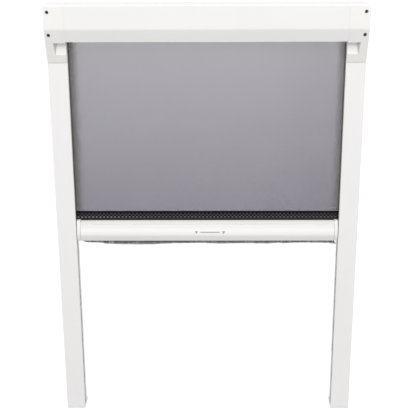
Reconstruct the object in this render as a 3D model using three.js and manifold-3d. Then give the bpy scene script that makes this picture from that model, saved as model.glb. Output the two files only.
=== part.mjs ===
// Roller insect screen for a window.
// A cassette with a sprung roller sits on two side guides, and a bottom bar pulls the net down.
// Millimetres. X runs across the window, Y from the room towards the glass, Z up from the sill.

import * as THREE from 'three';
import { mergeVertices } from 'three/addons/utils/BufferGeometryUtils.js';
import Module from 'manifold-3d';

const wasm = await Module();
wasm.setup();

// Whole screen
const overallWidth = 400;
const overallHeight = 565;
const touchGap = 0.3;
const cutOverrun = 1;
const weldDistance = 0.0001;
const roundSegments = 24;
const smallSegments = 12;
const cornerSegments = 3;

// Cassette and its end caps
const cassetteDepth = 46;
const cassetteHeight = 45.2;
const cassetteFace = 29.5;
const cassetteWall = 1.5;
const cassetteEdge = 1.5;
const capWall = 2;
const capSolid = 9.5;
const capFloorDrop = 2.2;
const capLegLength = 25;
const skirtHeight = 72;
const skirtLip = 0.6;
const notchWidth = 10.9;
const notchSplay = 0.79;
const notchLean = 0.19;
const notchHeight = 15;
const notchTopDrop = 1.3;
const notchFootDepth = 0.6;
const spigotLength = 8;
const spigotThickness = 1.2;
const spigotEndClear = 8;
const outletHalf = 6;

// Fixing holes through the end caps, front to back
const fixingInset = 5;
const fixingUpperDrop = 8.5;
const fixingLowerDrop = 36.7;
const fixingAccessRadius = 2.3;
const fixingScrewRadius = 1.5;
const fixingSeatWall = 3;

// Screws that hold the end caps to the cassette
const portRadius = 2.9;
const portInset = 2.8;
const portUpperRise = 27.2;
const portLowerRise = 3;
const screwShankRadius = 1.3;
const screwHeadRadius = 2.6;
const screwHeadHeight = 2;
const screwGrip = 10;
const recessWidth = 0.8;
const recessLength = 3;
const recessDepth = 1;

// Side guides
const guideWidth = 25;
const guideDepth = 30;
const guideWall = 1.4;
const guideEdge = 0.8;
const chamberWidth = 10;
const lipDepth = 5;
const rearLipInset = 1.4;
const guideMouth = 14;

// Brush strips and the pockets that hold them
const stripWidth = 4.2;
const stripThickness = 1;
const pocketWall = 0.9;
const pocketDepth = 1.6;
const hookReach = 0.4;
const hookThickness = 0.8;
const pileWidth = 2.6;
const strandRadius = 0.45;
const strandSides = 3;
const strandRootStep = 0.9;
const strandTipStep = 2.7;
const guideStrands = 108;
const barStrands = 126;
const strandRows = 3;
const pileEndClear = 3;

// Feet of the guides
const footFlange = 3;
const footLegLength = 15;
const catchThickness = 1.4;
const catchHeight = 17;
const catchInset = 1.2;
const catchLipGap = 0.8;
const catchNose = 1.2;

// Roller
const tubeRadius = 9;
const tubeWall = 1.2;
const tubeEndClear = 2.5;
const windRadius = 11;
const rollerRise = 22.2;
const grooveRadius = 1.3;
const grooveWall = 1.1;
const grooveInset = 1.6;
const grooveMouth = 1.4;
const splineRadius = 1;
const plugLength = 16;
const plugFlange = 1.5;
const spindleRadius = 2.8;
const spindleReach = 112;
const spindleSides = 6;
const holderRadius = 6;
const holderDepth = 6.5;
const springRadius = 4;
const springWire = 0.6;
const springTurns = 20;
const springLength = 64;
const springSteps = 8;
const anchorRadius = 4.6;
const anchorLength = 9;
const pinRadius = 2.5;
const pinInset = 12;

// Bottom bar
const barRestHeight = 253;
const barHeight = 27;
const barDepth = 22;
const barRecess = 1;
const barWall = 1.4;
const barEdge = 1;
const barLipHeight = 7.4;
const barLipSetback = 3.5;
const barFaceTop = 22.4;
const barFaceLean = 2;
const barFaceCrown = 1.3;
const barGrooveDepth = 0.5;
const barGrooveHeight = 1.6;
const barGrooveRamp = 0.8;
const barBeadReach = 1.2;
const barBeadRise = 0.8;
const barTopFall = 1.1;
const barTopLean = 1.8;
const keyholeRadius = 2.6;
const keyholeDrop = 3.9;
const keyholeMouth = 3;
const barSplineRadius = 2.2;
const barBrushSetback = 7;
const barPile = 7;
const barPileUnevenShare = 0.3;

// End shoes of the bottom bar
const shoeFlange = 4.5;
const shoeSideGap = 0.8;
const shoeRise = 1.5;
const shoeProud = 0.3;
const shoePlugLength = 18;
const shoePlugWidth = 9.5;
const tongueThickness = 4;
const tongueSideGap = 1.6;
const tongueFoot = 2;
const shoeScrewLength = 17;
const shoeScrewInset = 4.1;
const shoeScrewRise = 6.4;
const shoeScrewHead = 1.6;

// Net and its hem
const netThickness = 0.6;
const netSideGap = 3.6;
const netColumns = 14;
const netRows = 10;
const threadWidth = 1.2;
const selvedgeWidth = 2.5;
const hemHeight = 12.3;
const hemThickness = 2.4;

// Places that follow from the sizes above
const halfWidth = overallWidth / 2;
const backY = cassetteDepth / 2;
const frontY = -backY;
const guideFrontY = backY - guideDepth;
const mouthFrontY = guideFrontY + lipDepth;
const mouthBackY = mouthFrontY + guideMouth;
const netY = (mouthFrontY + mouthBackY) / 2;
const channelDepth = guideWidth - chamberWidth - guideWall;
const capInnerX = halfWidth - guideWidth;
const cassetteHalf = capInnerX - touchGap;
const cassetteBottomZ = overallHeight - cassetteHeight;
const bendZ = overallHeight - cassetteFace;
const skirtBottomZ = overallHeight - skirtHeight;
const capFloorZ = cassetteBottomZ - capFloorDrop;
const notchTopZ = cassetteBottomZ - notchTopDrop;
const notchFootZ = notchTopZ - notchHeight;
const skirtBackY = guideFrontY - touchGap;
const skirtFootY = skirtBackY - skirtLip;
const slope = (skirtFootY - frontY) / (bendZ - skirtBottomZ);
const slopeWallFactor = Math.hypot(1, slope);
const capHollowDepth = guideWidth - capSolid;
const outletFrontY = netY - outletHalf;
const outletBackY = netY + outletHalf;
const portY = backY - cassetteWall - portInset;
const portHeights = [cassetteBottomZ + portUpperRise, cassetteBottomZ + portLowerRise];
const fixingHeights = [overallHeight - fixingUpperDrop, overallHeight - fixingLowerDrop];
const pocketWidth = stripWidth + 2 * touchGap;
const pocketBlock = pocketWidth + 2 * pocketWall;
const rollerY = netY - windRadius;
const rollerZ = cassetteBottomZ + rollerRise;
const tubeHalf = capInnerX + capHollowDepth - tubeEndClear;
const netHalf = capInnerX + channelDepth - netSideGap;
const barFrontY = guideFrontY + barRecess;
const barBackY = barFrontY + barDepth;
const barHalf = capInnerX - shoeSideGap - shoeFlange - touchGap;
const pileTipGap = tongueThickness / 2 + touchGap;
const tongueReach = channelDepth - tongueSideGap;
const keyholeV = barHeight - keyholeDrop;
const hemTopV = barHeight + hemHeight;
const hemBottomV = keyholeV + barSplineRadius + touchGap;

const sides = [
  { name: 'left', sign: -1 },
  { name: 'right', sign: 1 },
];

// Finishes, one new material for each mesh
const finishes = {
  whiteCoat: { color: 0xf3f3f0, roughness: 0.4, metalness: 0 },
  whitePlastic: { color: 0xf1efe8, roughness: 0.5, metalness: 0 },
  greyPile: { color: 0x67666b, roughness: 0.95, metalness: 0 },
  netThread: { color: 0x4b4a50, roughness: 0.8, metalness: 0 },
  hemTape: { color: 0x1d1d20, roughness: 0.9, metalness: 0 },
  steel: { color: 0xb9bcc0, roughness: 0.35, metalness: 1 },
  aluminium: { color: 0xc6c9cc, roughness: 0.45, metalness: 1 },
  blackPlastic: { color: 0x2a2a2c, roughness: 0.6, metalness: 0 },
};

// Adds one named mesh to a group
function addPiece(parent, name, geometry, finish) {
  const mesh = new THREE.Mesh(geometry, new THREE.MeshStandardMaterial(finishes[finish]));
  mesh.name = name;
  parent.add(mesh);
  return mesh;
}

// Adds the left and right copies of a piece that is drawn for the right side
function addPair(parent, name, build, finish) {
  for (const side of sides) {
    const geometry = side.sign > 0 ? build() : mirrored(build());
    const mesh = addPiece(parent, `${side.name}_${name}`, geometry, finish);
    mesh.position.x = side.sign * capInnerX;
  }
}

// Turns a geometry into its mirror image across the plane x = 0
function mirrored(geometry) {
  const flipped = geometry.index ? geometry.toNonIndexed() : geometry.clone();
  flipped.scale(-1, 1, 1);
  const position = flipped.attributes.position;
  const corner = new THREE.Vector3();
  const other = new THREE.Vector3();
  for (let i = 0; i < position.count; i += 3) {
    corner.fromBufferAttribute(position, i + 1);
    other.fromBufferAttribute(position, i + 2);
    position.setXYZ(i + 1, other.x, other.y, other.z);
    position.setXYZ(i + 2, corner.x, corner.y, corner.z);
  }
  flipped.computeVertexNormals();
  return flipped;
}

function box(x0, x1, y0, y1, z0, z1) {
  const geometry = new THREE.BoxGeometry(x1 - x0, y1 - y0, z1 - z0);
  geometry.translate((x0 + x1) / 2, (y0 + y1) / 2, (z0 + z1) / 2);
  return geometry;
}

// A round bar that lies across the window
function rodAcross(radius, x0, x1, y, z, segments = roundSegments) {
  const geometry = new THREE.CylinderGeometry(radius, radius, x1 - x0, segments);
  geometry.rotateZ(-Math.PI / 2);
  geometry.translate((x0 + x1) / 2, y, z);
  return geometry;
}

// A round bar from the room side to the window side
function rodDeep(radius, x, y0, y1, z, segments = roundSegments) {
  const geometry = new THREE.CylinderGeometry(radius, radius, y1 - y0, segments);
  geometry.translate(x, (y0 + y1) / 2, z);
  return geometry;
}

// A closed outline from corner points, each with an optional rounding radius
function outline(points) {
  const shape = new THREE.Shape();
  points.forEach((point, i) => {
    const [x, y, radius = 0] = point;
    const before = points[(i + points.length - 1) % points.length];
    const after = points[(i + 1) % points.length];
    const start = towards(point, before, radius);
    const end = towards(point, after, radius);
    if (i === 0) {
      shape.moveTo(start.x, start.y);
    } else {
      shape.lineTo(start.x, start.y);
    }
    if (radius > 0) {
      shape.quadraticCurveTo(x, y, end.x, end.y);
    }
  });
  shape.closePath();
  return shape;
}

function towards(from, to, distance) {
  const start = new THREE.Vector2(from[0], from[1]);
  const step = new THREE.Vector2(to[0], to[1]).sub(start).normalize();
  return start.addScaledVector(step, distance);
}

// A ring outline for tubes and bushes
function ring(outerRadius, innerRadius) {
  const shape = new THREE.Shape();
  shape.absarc(0, 0, outerRadius, 0, 2 * Math.PI);
  const hole = new THREE.Path();
  hole.absarc(0, 0, innerRadius, 0, 2 * Math.PI);
  shape.holes.push(hole);
  return shape;
}

// An outline in Y and Z drawn out along X
function extrudeAcross(shape, x0, x1, segments = cornerSegments) {
  const settings = { depth: x1 - x0, bevelEnabled: false, curveSegments: segments };
  const geometry = new THREE.ExtrudeGeometry(shape, settings);
  const basis = new THREE.Matrix4().makeBasis(
    new THREE.Vector3(0, 1, 0), new THREE.Vector3(0, 0, 1), new THREE.Vector3(1, 0, 0));
  geometry.applyMatrix4(basis);
  geometry.translate(x0, 0, 0);
  return geometry;
}

// An outline in X and Y drawn out along Z
function extrudeUp(shape, z0, z1, segments = cornerSegments) {
  const settings = { depth: z1 - z0, bevelEnabled: false, curveSegments: segments };
  const geometry = new THREE.ExtrudeGeometry(shape, settings);
  geometry.translate(0, 0, z0);
  return geometry;
}

function toSolid(geometry) {
  const bare = geometry.clone();
  bare.deleteAttribute('normal');
  bare.deleteAttribute('uv');
  const merged = mergeVertices(bare, weldDistance);
  return new wasm.Manifold(new wasm.Mesh({
    numProp: 3,
    vertProperties: new Float32Array(merged.attributes.position.array),
    triVerts: new Uint32Array(merged.index.array),
  }));
}

function toGeometry(solid) {
  const mesh = solid.getMesh();
  const geometry = new THREE.BufferGeometry();
  geometry.setAttribute('position', new THREE.BufferAttribute(mesh.vertProperties, 3));
  geometry.setIndex(new THREE.BufferAttribute(mesh.triVerts, 1));
  geometry.computeVertexNormals();
  return geometry;
}

// Joins the additions to the base, and then takes the cuts away
function carve(base, additions, cuts) {
  let solid = toSolid(base);
  for (const piece of additions) {
    solid = solid.add(toSolid(piece));
  }
  for (const piece of cuts) {
    solid = solid.subtract(toSolid(piece));
  }
  return toGeometry(solid);
}

// The front slope that the cassette and the end caps share
function slopeY(z) {
  return frontY + (bendZ - z) * slope;
}

// The room inside a wall that follows the cassette's outside, down to a floor
function hollowOutline(wall, floorZ) {
  const innerBendZ = bendZ + wall * (slopeWallFactor - 1) / slope;
  return outline([
    [frontY + wall, overallHeight - wall],
    [backY - wall, overallHeight - wall],
    [backY - wall, floorZ],
    [slopeY(floorZ) + wall * slopeWallFactor, floorZ],
    [frontY + wall, innerBendZ],
  ]);
}

function cassetteHousing() {
  const outside = outline([
    [frontY, overallHeight, cassetteEdge],
    [backY, overallHeight, cassetteEdge],
    [backY, cassetteBottomZ],
    [slopeY(cassetteBottomZ), cassetteBottomZ],
    [frontY, bendZ, cassetteEdge],
  ]);
  const floorZ = cassetteBottomZ + cassetteWall;
  const inside = hollowOutline(cassetteWall, floorZ);
  const reach = cassetteHalf + cutOverrun;
  const blockTopZ = floorZ + pocketWidth + pocketWall;
  const blockBackY = outletFrontY - hookThickness - pocketDepth - pocketWall;
  const shell = carve(
    extrudeAcross(outside, -cassetteHalf, cassetteHalf), [],
    [
      extrudeAcross(inside, -reach, reach),
      box(-reach, reach, outletFrontY, outletBackY,
        cassetteBottomZ - cutOverrun, floorZ + cutOverrun),
    ]);
  const additions = [
    box(-cassetteHalf, cassetteHalf, blockBackY, outletFrontY, cassetteBottomZ, blockTopZ),
  ];
  const cuts = [
    box(-reach, reach, outletFrontY - hookThickness - pocketDepth, outletFrontY - hookThickness,
      floorZ, floorZ + pocketWidth),
    box(-reach, reach, outletFrontY - hookThickness - cutOverrun, outletFrontY + cutOverrun,
      floorZ + hookReach, floorZ + pocketWidth - hookReach),
  ];
  for (const z of portHeights) {
    additions.push(rodAcross(portRadius, -cassetteHalf, cassetteHalf, portY, z, smallSegments));
    cuts.push(rodAcross(screwShankRadius + touchGap, -reach, reach, portY, z, smallSegments));
  }
  return carve(shell, additions, cuts);
}

// The leg that plugs the guide's closed chamber, on the end cap above and the foot cap below
function chamberLeg(z0, z1) {
  return box(guideWidth - chamberWidth + touchGap, guideWidth - guideWall - touchGap,
    guideFrontY + guideWall + touchGap, backY - guideWall - touchGap, z0, z1);
}

// The shallow notch in an end cap's skirt, with an outer wall that splays and leans outwards
function skirtNotch() {
  const backOfNotch = slopeY(notchFootZ) + notchFootDepth;
  const mouth = frontY - cutOverrun;
  const open = -notchLean * notchHeight - cutOverrun;
  const cutter = extrudeUp(outline([
    [open, mouth],
    [notchWidth + (backOfNotch - mouth) * notchSplay, mouth],
    [notchWidth, backOfNotch],
    [open, backOfNotch],
  ]), -notchHeight, 0);
  cutter.applyMatrix4(new THREE.Matrix4().makeShear(0, 0, 0, 0, -notchLean, 0));
  cutter.translate(0, 0, notchTopZ);
  return cutter;
}

// Drawn for the right side, with x measured outwards from the guide's inner face
function endCap() {
  const outside = outline([
    [frontY, overallHeight, cassetteEdge],
    [backY, overallHeight, cassetteEdge],
    [backY, capFloorZ],
    [skirtBackY, capFloorZ],
    [skirtBackY, skirtBottomZ],
    [skirtFootY, skirtBottomZ],
    [frontY, bendZ, cassetteEdge],
  ]);
  const floorTopZ = cassetteBottomZ + capWall;
  const shell = carve(
    extrudeAcross(outside, 0, guideWidth), [],
    [
      extrudeAcross(hollowOutline(capWall, floorTopZ), -cutOverrun, capHollowDepth),
      box(-cutOverrun, capHollowDepth, outletFrontY, outletBackY,
        capFloorZ - cutOverrun, floorTopZ + cutOverrun),
      skirtNotch(),
      rodAcross(holderRadius + touchGap, capHollowDepth - cutOverrun, capHollowDepth + holderDepth,
        rollerY, rollerZ),
    ]);
  const spigotY = frontY + cassetteWall + touchGap;
  const spigotZ = overallHeight - cassetteWall - touchGap;
  const additions = [
    chamberLeg(capFloorZ - capLegLength, capFloorZ + cutOverrun),
    box(-spigotLength, capWall, spigotY, spigotY + spigotThickness, bendZ + capWall, spigotZ),
    box(-spigotLength, capWall, spigotY, backY - spigotEndClear, spigotZ - spigotThickness, spigotZ),
  ];
  const cuts = [];
  for (const z of portHeights) {
    additions.push(rodAcross(portRadius, 0, capHollowDepth + cutOverrun, portY, z, smallSegments));
    cuts.push(rodAcross(screwShankRadius + touchGap, -cutOverrun, guideWidth + cutOverrun,
      portY, z, smallSegments));
    cuts.push(rodAcross(screwHeadRadius + touchGap, guideWidth - screwHeadHeight - 2 * touchGap,
      guideWidth + cutOverrun, portY, z, smallSegments));
  }
  for (const z of fixingHeights) {
    const x = guideWidth - fixingInset;
    cuts.push(rodDeep(fixingAccessRadius, x, frontY - cutOverrun, backY - fixingSeatWall, z));
    cuts.push(rodDeep(fixingScrewRadius, x, frontY, backY + cutOverrun, z, smallSegments));
  }
  return carve(shell, additions, cuts);
}

// A pan-head screw whose head faces outwards, drawn from its head's top inwards
function screwAcross(shankRadius, headRadius, headHeight, length) {
  const shank = rodAcross(shankRadius, -length, -headHeight / 2, 0, 0, smallSegments);
  const head = rodAcross(headRadius, -headHeight, 0, 0, 0, smallSegments);
  const recess = [
    box(-recessDepth, cutOverrun, -recessWidth / 2, recessWidth / 2, -recessLength / 2, recessLength / 2),
    box(-recessDepth, cutOverrun, -recessLength / 2, recessLength / 2, -recessWidth / 2, recessWidth / 2),
  ];
  return carve(head, [shank], recess);
}

// The outline along one lip of the guide, with the pocket that holds a brush strip
function lipWithPocket(edge, mouthY, direction) {
  const hookY = mouthY + direction * hookThickness;
  const pocketY = hookY + direction * pocketDepth;
  const near = edge + pocketWall;
  const far = near + pocketWidth;
  return [
    [edge, mouthY],
    [near + hookReach, mouthY],
    [near + hookReach, hookY],
    [near, hookY],
    [near, pocketY],
    [far, pocketY],
    [far, hookY],
    [far - hookReach, hookY],
    [far - hookReach, mouthY],
    [edge + pocketBlock, mouthY],
  ];
}

function guide() {
  const section = outline([
    [guideWidth, guideFrontY, guideEdge],
    [guideWidth, backY, guideEdge],
    [rearLipInset, backY, guideEdge],
    ...lipWithPocket(rearLipInset, mouthBackY, 1),
    [rearLipInset + pocketBlock, mouthBackY + lipDepth],
    [rearLipInset + guideWall, mouthBackY + lipDepth],
    [rearLipInset + guideWall, backY - guideWall],
    [channelDepth, backY - guideWall],
    [channelDepth, guideFrontY + guideWall],
    [pocketBlock, guideFrontY + guideWall],
    ...lipWithPocket(0, mouthFrontY, -1).reverse(),
    [0, guideFrontY, guideEdge],
  ]);
  const z0 = footFlange + touchGap;
  const z1 = capFloorZ - touchGap;
  const chamber = box(guideWidth - chamberWidth, guideWidth - guideWall,
    guideFrontY + guideWall, backY - guideWall, z0 - cutOverrun, z1 + cutOverrun);
  return carve(extrudeUp(section, z0, z1), [], [chamber]);
}

// One three-sided strand from its root to its tip
function strand(root, tip, radius) {
  const path = tip.clone().sub(root);
  const geometry = new THREE.ConeGeometry(radius, path.length(), strandSides);
  const along = path.clone().normalize();
  const turn = new THREE.Quaternion().setFromUnitVectors(new THREE.Vector3(0, 1, 0), along);
  geometry.applyQuaternion(turn);
  const middle = root.clone().add(tip).multiplyScalar(1 / 2);
  geometry.translate(middle.x, middle.y, middle.z);
  return geometry;
}

// The brush strip on the front lip, with its pile as separate strands that lean apart
function guideFrontBrush() {
  const stripX = pocketWall + touchGap;
  const stripTopY = mouthFrontY - hookThickness - touchGap;
  const z0 = footFlange + 2 * touchGap;
  const z1 = capFloorZ - 2 * touchGap;
  const strip = box(stripX, stripX + stripWidth, stripTopY - stripThickness, stripTopY, z0, z1);
  const middleX = stripX + stripWidth / 2;
  const step = (z1 - z0 - 2 * pileEndClear) / (guideStrands - 1);
  const strands = [];
  for (let i = 0; i < guideStrands; i += 1) {
    const row = (i % strandRows) - (strandRows - 1) / 2;
    const z = z0 + pileEndClear + i * step;
    const root = new THREE.Vector3(middleX + row * strandRootStep, stripTopY - stripThickness / 2, z);
    const tip = new THREE.Vector3(middleX + row * strandTipStep, netY - pileTipGap, z);
    strands.push(strand(root, tip, strandRadius));
  }
  return carve(strip, strands, []);
}

function guideRearBrush() {
  const stripX = rearLipInset + pocketWall + touchGap;
  const stripTopY = mouthBackY + hookThickness + touchGap;
  const middleX = stripX + stripWidth / 2;
  const z0 = footFlange + 2 * touchGap;
  const z1 = capFloorZ - 2 * touchGap;
  const tipY = netY + pileTipGap;
  const section = outline([
    [stripX, stripTopY + stripThickness],
    [stripX, stripTopY],
    [middleX - pileWidth / 2, stripTopY],
    [middleX - pileWidth / 2, tipY],
    [middleX + pileWidth / 2, tipY],
    [middleX + pileWidth / 2, stripTopY],
    [stripX + stripWidth, stripTopY],
    [stripX + stripWidth, stripTopY + stripThickness],
  ]);
  return extrudeUp(section, z0, z1);
}

function footCap() {
  const flange = extrudeUp(outline([
    [guideWidth, guideFrontY, guideEdge],
    [guideWidth, backY, guideEdge],
    [0, backY, guideEdge],
    [0, guideFrontY, guideEdge],
  ]), 0, footFlange);
  return carve(flange, [chamberLeg(footFlange - cutOverrun, footFlange + footLegLength)], []);
}

// The spring clip in the foot of the channel that holds the lowered bar by its tongue
function footCatch() {
  const x0 = rearLipInset + pocketBlock + catchLipGap;
  const x1 = channelDepth - catchInset;
  const armY = netY + tongueThickness / 2 + touchGap;
  const baseZ = footFlange + touchGap;
  const arm = outline([
    [armY, baseZ],
    [backY - guideWall - touchGap, baseZ],
    [backY - guideWall - touchGap, baseZ + catchThickness],
    [armY + catchThickness, baseZ + catchThickness],
    [armY + catchThickness, baseZ + catchHeight - catchNose],
    [armY + catchThickness + catchNose, baseZ + catchHeight],
    [armY + catchNose, baseZ + catchHeight],
    [armY, baseZ + catchHeight - catchNose],
  ]);
  return extrudeAcross(arm, x0, x1);
}

function cassetteBrush() {
  const floorZ = cassetteBottomZ + cassetteWall + touchGap;
  const stripTopY = outletFrontY - hookThickness - touchGap;
  const middleZ = floorZ + stripWidth / 2;
  const tipY = netY - hemThickness / 2 - touchGap;
  const section = outline([
    [stripTopY - stripThickness, floorZ],
    [stripTopY, floorZ],
    [stripTopY, middleZ - pileWidth / 2],
    [tipY, middleZ - pileWidth / 2],
    [tipY, middleZ + pileWidth / 2],
    [stripTopY, middleZ + pileWidth / 2],
    [stripTopY, floorZ + stripWidth],
    [stripTopY - stripThickness, floorZ + stripWidth],
  ]);
  return extrudeAcross(section, -cassetteHalf, cassetteHalf);
}

// Pieces on the roller's axis, drawn round the axis itself
const grooveCentre = tubeRadius - grooveInset;
const grooveBoss = grooveRadius + grooveWall;
const bearingX = capInnerX + capHollowDepth;
const plugInnerX = tubeHalf - plugLength;

function rollerTube() {
  const inner = tubeRadius - tubeWall;
  const reach = tubeHalf + cutOverrun;
  const boss = rodAcross(grooveBoss, -tubeHalf, tubeHalf, -grooveCentre, 0, smallSegments);
  const trimmed = toSolid(boss).intersect(toSolid(rodAcross(inner + tubeWall / 2, -reach, reach, 0, 0)));
  const cuts = [
    rodAcross(grooveRadius, -reach, reach, -grooveCentre, 0, smallSegments),
    box(-reach, reach, -tubeRadius - cutOverrun, -grooveCentre, -grooveMouth / 2, grooveMouth / 2),
  ];
  const tube = extrudeAcross(ring(tubeRadius, inner), -tubeHalf, tubeHalf, roundSegments);
  return carve(tube, [toGeometry(trimmed)], cuts);
}

// The plug in a tube end, drawn for the right side; both ends turn on a round bore
function tubePlug(boreRadius) {
  const body = rodAcross(tubeRadius - tubeWall - touchGap, plugInnerX, tubeHalf + plugFlange, 0, 0);
  const flange = rodAcross(tubeRadius, tubeHalf + touchGap, tubeHalf + plugFlange, 0, 0);
  const reach = tubeHalf + plugFlange + cutOverrun;
  const cuts = [
    rodAcross(grooveBoss + touchGap, plugInnerX - cutOverrun, tubeHalf + touchGap,
      -grooveCentre, 0, smallSegments),
    rodAcross(boreRadius, plugInnerX - cutOverrun, reach, 0, 0, smallSegments),
  ];
  return carve(body, [flange], cuts);
}

function spindle() {
  const x0 = -bearingX - holderDepth + touchGap;
  return rodAcross(spindleRadius, x0, x0 + spindleReach, 0, 0, spindleSides);
}

function spindleHolder() {
  const x0 = -bearingX - holderDepth + touchGap;
  const x1 = -bearingX;
  const hole = rodAcross(spindleRadius + touchGap, x0 - cutOverrun, x1 + cutOverrun, 0, 0, spindleSides);
  return carve(rodAcross(holderRadius, x0, x1, 0, 0), [], [hole]);
}

function idleBearing() {
  const x1 = bearingX + holderDepth - touchGap;
  const bore = rodAcross(pinRadius + touchGap, bearingX - cutOverrun, x1 + cutOverrun, 0, 0);
  return carve(rodAcross(holderRadius, bearingX, x1, 0, 0), [], [bore]);
}

function springAnchor() {
  const x0 = -plugInnerX + springLength + 2 * springWire + 2 * touchGap;
  const x1 = x0 + anchorLength;
  const hole = rodAcross(spindleRadius + touchGap, x0 - cutOverrun, x1 + cutOverrun, 0, 0, spindleSides);
  return carve(rodAcross(anchorRadius, x0, x1, 0, 0), [], [hole]);
}

// The torsion spring round the spindle, one unbroken helix
class SpringPath extends THREE.Curve {
  getPoint(t, target = new THREE.Vector3()) {
    const angle = t * springTurns * 2 * Math.PI;
    const x = -plugInnerX + touchGap + springWire + t * springLength;
    return target.set(x, springRadius * Math.cos(angle), springRadius * Math.sin(angle));
  }
}

function torsionSpring() {
  const wire = outline([[-springWire, 0], [0, -springWire], [springWire, 0], [0, springWire]]);
  const settings = { steps: springTurns * springSteps, extrudePath: new SpringPath(), bevelEnabled: false };
  return new THREE.ExtrudeGeometry(wire, settings);
}

// The least gap between neighbouring turns of the spring, measured on points
function leastSpringGap() {
  const path = new SpringPath();
  const count = springTurns * springSteps;
  const points = path.getPoints(count);
  let least = Infinity;
  for (let i = 0; i < points.length; i += 1) {
    for (let j = i + springSteps / 2; j < points.length; j += 1) {
      least = Math.min(least, points[i].distanceTo(points[j]) - 2 * springWire);
    }
  }
  return least;
}

// Bottom bar, drawn with z measured up from its own lower edge
function barOutline() {
  const edgeY = barFrontY;
  const topY = barFrontY + barFaceLean;
  const grooveY = topY + barGrooveDepth;
  const beadY = grooveY - barBeadReach;
  const grooveFootV = barFaceTop + barGrooveRamp;
  const grooveTopV = barFaceTop + barGrooveHeight;
  const brushY = barFrontY + barBrushSetback;
  const hookHalf = pocketWidth / 2 - hookReach;
  const pocketV = hookThickness + pocketDepth;
  const shape = new THREE.Shape();
  shape.moveTo(edgeY + barLipSetback, 0);
  shape.lineTo(edgeY, barLipHeight);
  shape.quadraticCurveTo(edgeY - barFaceCrown + barFaceLean / 2, (barLipHeight + barFaceTop) / 2,
    topY, barFaceTop);
  shape.lineTo(grooveY, grooveFootV);
  shape.lineTo(grooveY, grooveTopV);
  shape.quadraticCurveTo(beadY, grooveTopV, beadY, grooveTopV + barBeadRise);
  shape.quadraticCurveTo(beadY + barTopLean, barHeight - barTopFall, netY - keyholeMouth / 2, barHeight);
  const mouthAngle = Math.acos(keyholeMouth / 2 / keyholeRadius);
  shape.absarc(netY, keyholeV, keyholeRadius, Math.PI - mouthAngle, mouthAngle, false);
  shape.lineTo(netY + keyholeMouth / 2, barHeight);
  shape.lineTo(barBackY - barEdge, barHeight);
  shape.lineTo(barBackY, barHeight - barEdge);
  shape.lineTo(barBackY, barEdge);
  shape.lineTo(barBackY - barEdge, 0);
  shape.lineTo(brushY + hookHalf, 0);
  shape.lineTo(brushY + hookHalf, hookThickness);
  shape.lineTo(brushY + pocketWidth / 2, hookThickness);
  shape.lineTo(brushY + pocketWidth / 2, pocketV);
  shape.lineTo(brushY - pocketWidth / 2, pocketV);
  shape.lineTo(brushY - pocketWidth / 2, hookThickness);
  shape.lineTo(brushY - hookHalf, hookThickness);
  shape.lineTo(brushY - hookHalf, 0);
  shape.closePath();
  return shape;
}

// The main chamber of the bar, above its brush pocket and below its keyhole
const chamberFootV = hookThickness + pocketDepth + barWall;
const chamberTopV = keyholeV - keyholeRadius - barWall;
const shoeScrewY = barBackY - shoeScrewInset;

function bottomBar() {
  const reach = barHalf + cutOverrun;
  const mainChamber = outline([
    [barFrontY + barLipSetback + barWall, chamberFootV],
    [barFrontY + barWall, barLipHeight + barWall],
    [barFrontY + barFaceLean + barWall, chamberTopV],
    [barBackY - barWall, chamberTopV],
    [barBackY - barWall, chamberFootV],
  ]);
  const rearChamberV = chamberTopV + barWall;
  const rearChamberY = netY + keyholeRadius + barWall;
  const chambers = [
    extrudeAcross(mainChamber, -reach, reach),
    box(-reach, reach, rearChamberY, barBackY - barWall, rearChamberV, barHeight - barWall),
  ];
  const shell = carve(extrudeAcross(barOutline(), -barHalf, barHalf, smallSegments / 2), [], chambers);
  const port = rodAcross(portRadius, -barHalf, barHalf, shoeScrewY, shoeScrewRise, smallSegments);
  const boreRadius = screwShankRadius + touchGap;
  const bore = rodAcross(boreRadius, -reach, reach, shoeScrewY, shoeScrewRise, smallSegments);
  return carve(shell, [port], [bore]);
}

// The moulded shoe at a bar end, drawn as the end cap is
function barShoe() {
  const flangeX0 = -shoeSideGap - shoeFlange;
  const front = barFrontY - shoeProud;
  const top = barHeight + shoeRise;
  const face = new THREE.Shape();
  face.moveTo(front + barLipSetback, 0);
  face.lineTo(front, barLipHeight);
  face.quadraticCurveTo(front - barFaceCrown + barFaceLean / 2, (barLipHeight + barFaceTop) / 2,
    front + barFaceLean, barFaceTop);
  face.lineTo(front + 2 * barFaceLean, top);
  face.lineTo(barBackY - barEdge, top);
  face.lineTo(barBackY, top - barEdge);
  face.lineTo(barBackY, barEdge);
  face.lineTo(barBackY - barEdge, 0);
  face.closePath();
  const flange = extrudeAcross(face, flangeX0, -shoeSideGap);
  const tongueTop = hemBottomV - touchGap;
  const plugY0 = shoeScrewY - portRadius - touchGap - shoePlugWidth;
  const additions = [
    box(-shoeSideGap - cutOverrun, tongueReach, netY - tongueThickness / 2, netY + tongueThickness / 2,
      tongueFoot, tongueTop),
    box(flangeX0 - shoePlugLength, flangeX0 + cutOverrun, plugY0, plugY0 + shoePlugWidth,
      chamberFootV + touchGap, chamberTopV - touchGap),
  ];
  const hemHalf = hemThickness / 2 + touchGap;
  const cuts = [
    box(flangeX0 - cutOverrun, tongueReach + cutOverrun, netY - hemHalf, netY + hemHalf,
      tongueTop, top + cutOverrun),
    rodAcross(screwShankRadius + touchGap, flangeX0 - cutOverrun, cutOverrun,
      shoeScrewY, shoeScrewRise, smallSegments),
    rodAcross(screwHeadRadius + touchGap, -shoeSideGap - shoeScrewHead - 2 * touchGap, cutOverrun,
      shoeScrewY, shoeScrewRise, smallSegments),
  ];
  return carve(flange, additions, cuts);
}

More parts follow.
